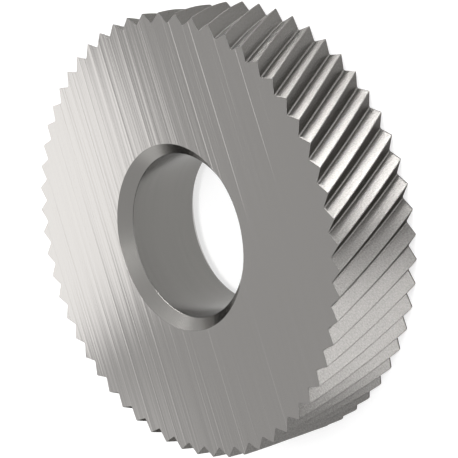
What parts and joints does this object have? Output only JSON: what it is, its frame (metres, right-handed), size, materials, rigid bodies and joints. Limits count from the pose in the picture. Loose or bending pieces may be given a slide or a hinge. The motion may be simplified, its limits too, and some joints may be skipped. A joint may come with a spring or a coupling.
{
  "type": "knurling wheel",
  "caption": "Flat round steel knurling wheel with left-hand helical V teeth across its rim and a plain through bore chamfered at both mouths.",
  "frame": {"origin": "on the bore's axis, in the plane of the lower side face, on which the wheel lies", "axes": "+Z along the bore axis, out of the upper side face; +X and +Y across the wheel, +X through the middle of one tooth gap at the lower face"},
  "size_m": [0.0214, 0.0214, 0.005],
  "materials": {
    "tool_steel": "ground and brushed side faces, ground tooth flanks, honed bore"
  },
  "bodies": {
    "root": {"knurling_wheel": "tool_steel"}
  },
  "joints": []
}
